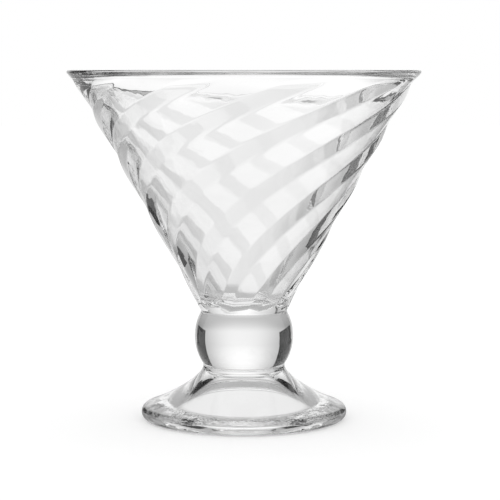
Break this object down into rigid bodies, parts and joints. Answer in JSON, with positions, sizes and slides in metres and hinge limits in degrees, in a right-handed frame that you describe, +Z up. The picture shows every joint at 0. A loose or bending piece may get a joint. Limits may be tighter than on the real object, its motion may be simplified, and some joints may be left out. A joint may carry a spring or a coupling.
{
  "type": "footed parfait glass",
  "caption": "Clear pressed-glass parfait and ice cream coupe: cone bowl with right-hand swirl flutes, ball knop and low spread foot.",
  "frame": {"origin": "middle of the foot on the surface that the glass stands on", "axes": "+Z up along the axis of the glass, -Y towards the viewer of the picture, +X to the viewer's right"},
  "size_m": [0.108, 0.108, 0.1073],
  "materials": {
    "bowl_glass": "clear fire-polished pressed glass",
    "knop_glass": "clear fire-polished pressed glass",
    "foot_glass": "clear fire-polished pressed glass"
  },
  "bodies": {
    "root": {"bowl": "bowl_glass", "knop": "knop_glass", "foot": "foot_glass"}
  },
  "joints": []
}
